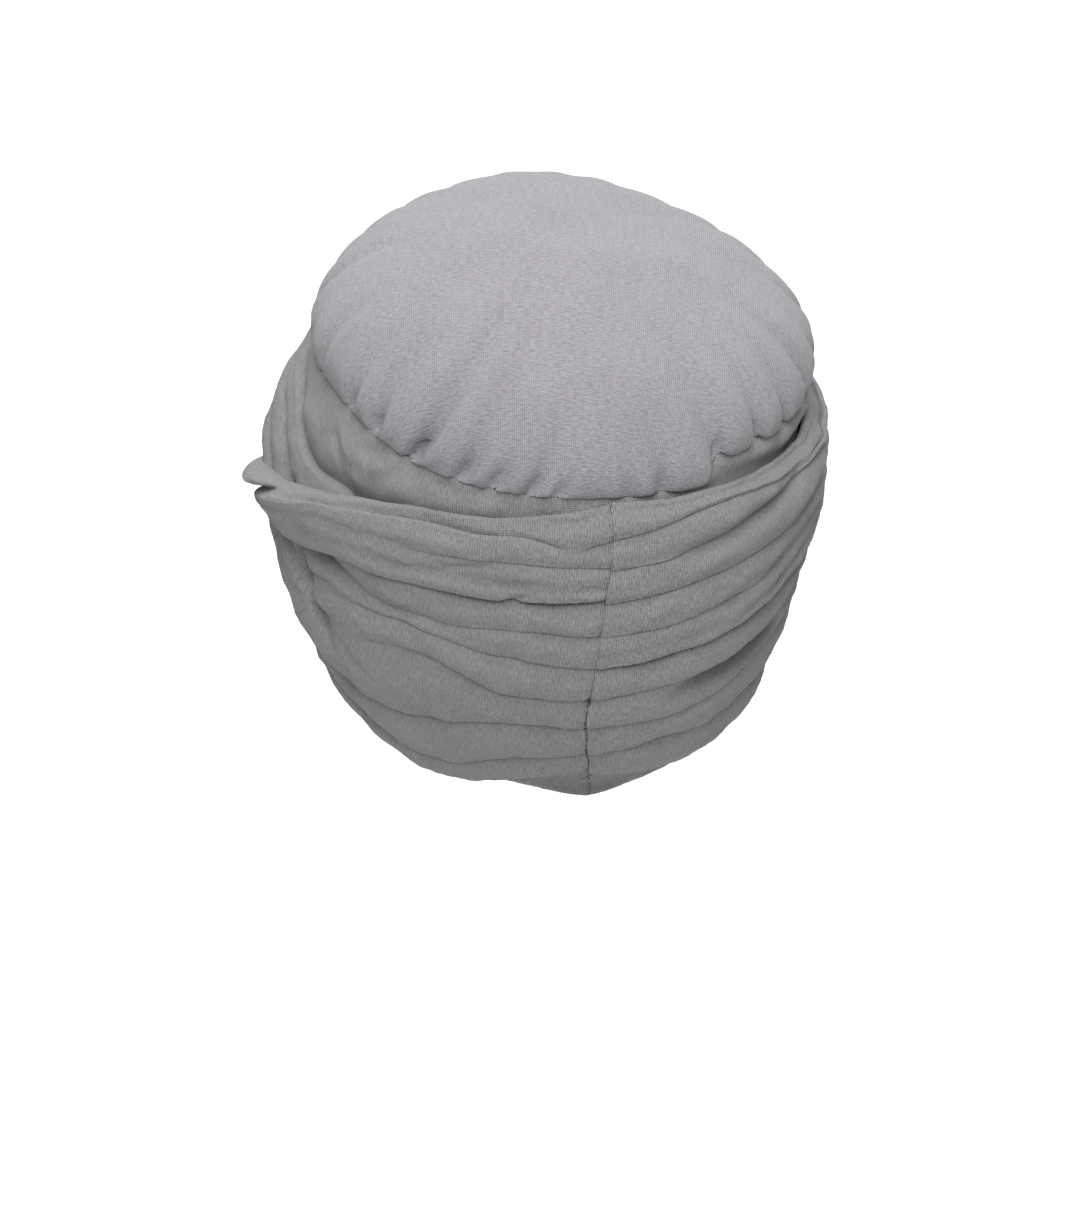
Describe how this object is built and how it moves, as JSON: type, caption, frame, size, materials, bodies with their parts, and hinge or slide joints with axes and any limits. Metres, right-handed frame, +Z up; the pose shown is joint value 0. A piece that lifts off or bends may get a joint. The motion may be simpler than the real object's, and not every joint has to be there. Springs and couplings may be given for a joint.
{
  "type": "turban headwrap",
  "caption": "Soft jersey turban headwrap: a gathered crown over a plain cap band, wrapped in a pleated strip that crosses itself in a twist at the left side.",
  "frame": {"origin": "middle of the head opening, level with the rim at the nape, where a head holds the turban up", "axes": "+Y the way the wearer faces, +Z up through the crown, +X the wearer's right"},
  "size_m": [0.2046, 0.2189, 0.1869],
  "materials": {
    "crown_jersey": "matt cotton jersey, light grey",
    "band_jersey": "matt cotton jersey, grey",
    "wrap_jersey": "matt cotton jersey, grey"
  },
  "bodies": {
    "root": {"crown": "crown_jersey", "side_band": "band_jersey", "wrap_under": "wrap_jersey", "wrap_over": "wrap_jersey"}
  },
  "joints": []
}
